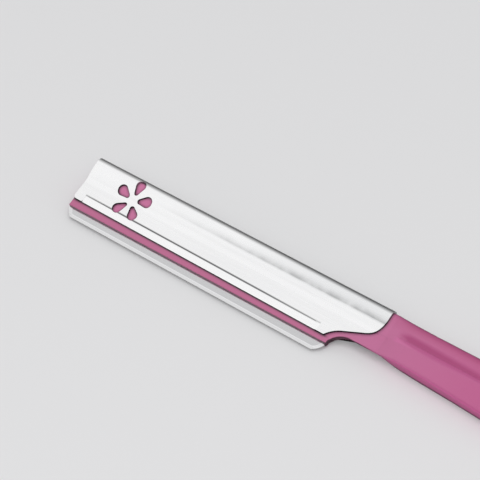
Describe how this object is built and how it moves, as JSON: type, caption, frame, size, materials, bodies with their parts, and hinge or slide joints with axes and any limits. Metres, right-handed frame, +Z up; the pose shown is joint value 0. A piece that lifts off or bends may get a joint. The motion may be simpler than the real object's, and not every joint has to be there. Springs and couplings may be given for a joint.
{
  "type": "eyebrow razor",
  "caption": "Slim fixed-blade eyebrow razor with a moulded handle and a folded metal blade holder pierced with a small flower.",
  "frame": {"origin": "on the surface the razor lies on, under the middle of its outline", "axes": "+X from the blade's tip to the handle's tail, -Y towards the cutting edge, +Z up from the flat rear that the razor lies on"},
  "size_m": [0.148, 0.0114, 0.0057],
  "materials": {
    "handle_plastic": "satin",
    "blade_steel": "ground",
    "holder_metal": "satin"
  },
  "bodies": {
    "root": {"handle": "handle_plastic", "blade": "blade_steel", "blade_backing": "handle_plastic", "blade_holder": "holder_metal"}
  },
  "joints": []
}
